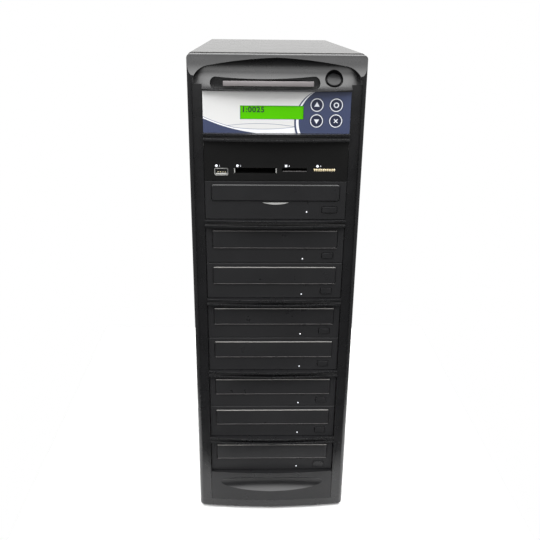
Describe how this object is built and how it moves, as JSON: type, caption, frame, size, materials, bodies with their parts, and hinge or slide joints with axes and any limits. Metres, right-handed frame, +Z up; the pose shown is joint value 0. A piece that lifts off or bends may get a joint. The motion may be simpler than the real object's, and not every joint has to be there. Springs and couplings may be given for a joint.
{
  "type": "disc duplicator tower",
  "caption": "Upright steel tower with a moulded front that copies discs: stacked optical drives with sliding trays, a lit control panel with round keys and a memory card panel.",
  "frame": {"origin": "on the floor under the middle of the tower's bounding box", "axes": "+Z up, the front faces -Y, +X to the viewer's right"},
  "size_m": [0.178, 0.404, 0.5436],
  "materials": {
    "board_green": "coated circuit board",
    "button_black": "satin plastic",
    "display_green": "lit green display",
    "drive_black": "fine grained plastic",
    "fan_black": "moulded plastic",
    "guard_chrome": "chromed wire",
    "key_navy": "dark navy keys with white rings",
    "moulded_black": "satin moulded plastic",
    "painted_case": "textured black paint",
    "panel_black": "matte plastic",
    "printed_overlay": "printed film, light grey and navy",
    "rubber_black": "matte rubber",
    "screw_steel": "nickel plated steel",
    "socket_steel": "plated socket shells",
    "tray_black": "matte plastic",
    "zinc_sheet": "zinc coated steel sheet"
  },
  "bodies": {
    "tower": {"front_bezel": "moulded_black", "control_panel": "panel_black", "panel_overlay": "printed_overlay", "display_module": "display_green", "card_panel": "panel_black", "card_sockets": "socket_steel", "circuit_boards": "board_green", "base_pan": "zinc_sheet", "rear_panel": "zinc_sheet", "front_plate": "zinc_sheet", "drive_cage": "zinc_sheet", "feet": "rubber_black", "power_supply": "zinc_sheet", "mains_inlet": "fan_black", "fan_frames": "fan_black", "fan_guards": "guard_chrome", "drive_1_housing": "zinc_sheet", "drive_2_housing": "zinc_sheet", "drive_3_housing": "zinc_sheet", "drive_4_housing": "zinc_sheet", "drive_5_housing": "zinc_sheet", "drive_6_housing": "zinc_sheet", "drive_7_housing": "zinc_sheet", "drive_8_housing": "zinc_sheet", "drive_1_bezel": "drive_black", "drive_2_bezel": "drive_black", "drive_3_bezel": "drive_black", "drive_4_bezel": "drive_black", "drive_5_bezel": "drive_black", "drive_6_bezel": "drive_black", "drive_7_bezel": "drive_black", "drive_8_bezel": "drive_black"},
    "lower_cover": {"lower_cover": "moulded_black"},
    "power_button": {"power_button": "button_black"},
    "case_cover": {"case_cover": "painted_case", "thumb_screws": "screw_steel"},
    "power_rocker": {"power_rocker": "fan_black"},
    "key_up": {"key_up": "key_navy"},
    "key_down": {"key_down": "key_navy"},
    "key_enter": {"key_enter": "key_navy"},
    "key_escape": {"key_escape": "key_navy"},
    "fan_rotor_upper": {"fan_rotor_upper": "fan_black"},
    "fan_rotor_lower": {"fan_rotor_lower": "fan_black"},
    "psu_fan_rotor": {"psu_fan_rotor": "fan_black"},
    "tray_1": {"drive_1_tray": "tray_black"},
    "eject_1": {"drive_1_button": "button_black"},
    "tray_2": {"drive_2_tray": "tray_black"},
    "eject_2": {"drive_2_button": "button_black"},
    "tray_3": {"drive_3_tray": "tray_black"},
    "eject_3": {"drive_3_button": "button_black"},
    "tray_4": {"drive_4_tray": "tray_black"},
    "eject_4": {"drive_4_button": "button_black"},
    "tray_5": {"drive_5_tray": "tray_black"},
    "eject_5": {"drive_5_button": "button_black"},
    "tray_6": {"drive_6_tray": "tray_black"},
    "eject_6": {"drive_6_button": "button_black"},
    "tray_7": {"drive_7_tray": "tray_black"},
    "eject_7": {"drive_7_button": "button_black"},
    "tray_8": {"drive_8_tray": "tray_black"},
    "eject_8": {"drive_8_button": "button_black"}
  },
  "joints": [
    {"name": "tray_1_slide", "type": "slide", "parent": "tower", "child": "tray_1", "axis": [0, -1, 0], "range_m": [0, 0.14]},
    {"name": "tray_2_slide", "type": "slide", "parent": "tower", "child": "tray_2", "axis": [0, -1, 0], "range_m": [0, 0.14]},
    {"name": "tray_3_slide", "type": "slide", "parent": "tower", "child": "tray_3", "axis": [0, -1, 0], "range_m": [0, 0.14]},
    {"name": "tray_4_slide", "type": "slide", "parent": "tower", "child": "tray_4", "axis": [0, -1, 0], "range_m": [0, 0.14]},
    {"name": "tray_5_slide", "type": "slide", "parent": "tower", "child": "tray_5", "axis": [0, -1, 0], "range_m": [0, 0.14]},
    {"name": "tray_6_slide", "type": "slide", "parent": "tower", "child": "tray_6", "axis": [0, -1, 0], "range_m": [0, 0.14]},
    {"name": "tray_7_slide", "type": "slide", "parent": "tower", "child": "tray_7", "axis": [0, -1, 0], "range_m": [0, 0.14]},
    {"name": "tray_8_slide", "type": "slide", "parent": "tower", "child": "tray_8", "axis": [0, -1, 0], "range_m": [0, 0.14]},
    {"name": "eject_1_press", "type": "slide", "parent": "tower", "child": "eject_1", "axis": [0, 1, 0], "range_m": [0, 0.0012], "stiffness_N_per_m": 400},
    {"name": "eject_2_press", "type": "slide", "parent": "tower", "child": "eject_2", "axis": [0, 1, 0], "range_m": [0, 0.0012], "stiffness_N_per_m": 400},
    {"name": "eject_3_press", "type": "slide", "parent": "tower", "child": "eject_3", "axis": [0, 1, 0], "range_m": [0, 0.0012], "stiffness_N_per_m": 400},
    {"name": "eject_4_press", "type": "slide", "parent": "tower", "child": "eject_4", "axis": [0, 1, 0], "range_m": [0, 0.0012], "stiffness_N_per_m": 400},
    {"name": "eject_5_press", "type": "slide", "parent": "tower", "child": "eject_5", "axis": [0, 1, 0], "range_m": [0, 0.0012], "stiffness_N_per_m": 400},
    {"name": "eject_6_press", "type": "slide", "parent": "tower", "child": "eject_6", "axis": [0, 1, 0], "range_m": [0, 0.0012], "stiffness_N_per_m": 400},
    {"name": "eject_7_press", "type": "slide", "parent": "tower", "child": "eject_7", "axis": [0, 1, 0], "range_m": [0, 0.0012], "stiffness_N_per_m": 400},
    {"name": "eject_8_press", "type": "slide", "parent": "tower", "child": "eject_8", "axis": [0, 1, 0], "range_m": [0, 0.0012], "stiffness_N_per_m": 400},
    {"name": "power_button_press", "type": "slide", "parent": "tower", "child": "power_button", "axis": [0, 0.766, -0.6428], "range_m": [0, 0.0015], "stiffness_N_per_m": 500},
    {"name": "key_up_press", "type": "slide", "parent": "tower", "child": "key_up", "axis": [0, 1, 0], "range_m": [0, 0.0007], "stiffness_N_per_m": 600},
    {"name": "key_down_press", "type": "slide", "parent": "tower", "child": "key_down", "axis": [0, 1, 0], "range_m": [0, 0.0007], "stiffness_N_per_m": 600},
    {"name": "key_enter_press", "type": "slide", "parent": "tower", "child": "key_enter", "axis": [0, 1, 0], "range_m": [0, 0.0007], "stiffness_N_per_m": 600},
    {"name": "key_escape_press", "type": "slide", "parent": "tower", "child": "key_escape", "axis": [0, 1, 0], "range_m": [0, 0.0007], "stiffness_N_per_m": 600},
    {"name": "case_cover_slide", "type": "slide", "parent": "tower", "child": "case_cover", "axis": [0, 1, 0], "range_m": [0, 0.37]},
    {"name": "lower_cover_pull", "type": "slide", "parent": "tower", "child": "lower_cover", "axis": [0, -1, 0], "range_m": [0, 0.03]},
    {"name": "rocker_tilt", "type": "hinge", "parent": "tower", "child": "power_rocker", "pos_m": [0.044, 0.1905, 0.4803], "axis": [1, 0, 0], "range_deg": [-16, 0]},
    {"name": "fan_rotor_upper_spin", "type": "hinge", "parent": "tower", "child": "fan_rotor_upper", "pos_m": [0, 0.181, 0.395], "axis": [0, 1, 0], "continuous": true},
    {"name": "fan_rotor_lower_spin", "type": "hinge", "parent": "tower", "child": "fan_rotor_lower", "pos_m": [0, 0.181, 0.3], "axis": [0, 1, 0], "continuous": true},
    {"name": "psu_fan_rotor_spin", "type": "hinge", "parent": "tower", "child": "psu_fan_rotor", "pos_m": [-0.028, 0.18, 0.4973], "axis": [0, 1, 0], "continuous": true}
  ]
}
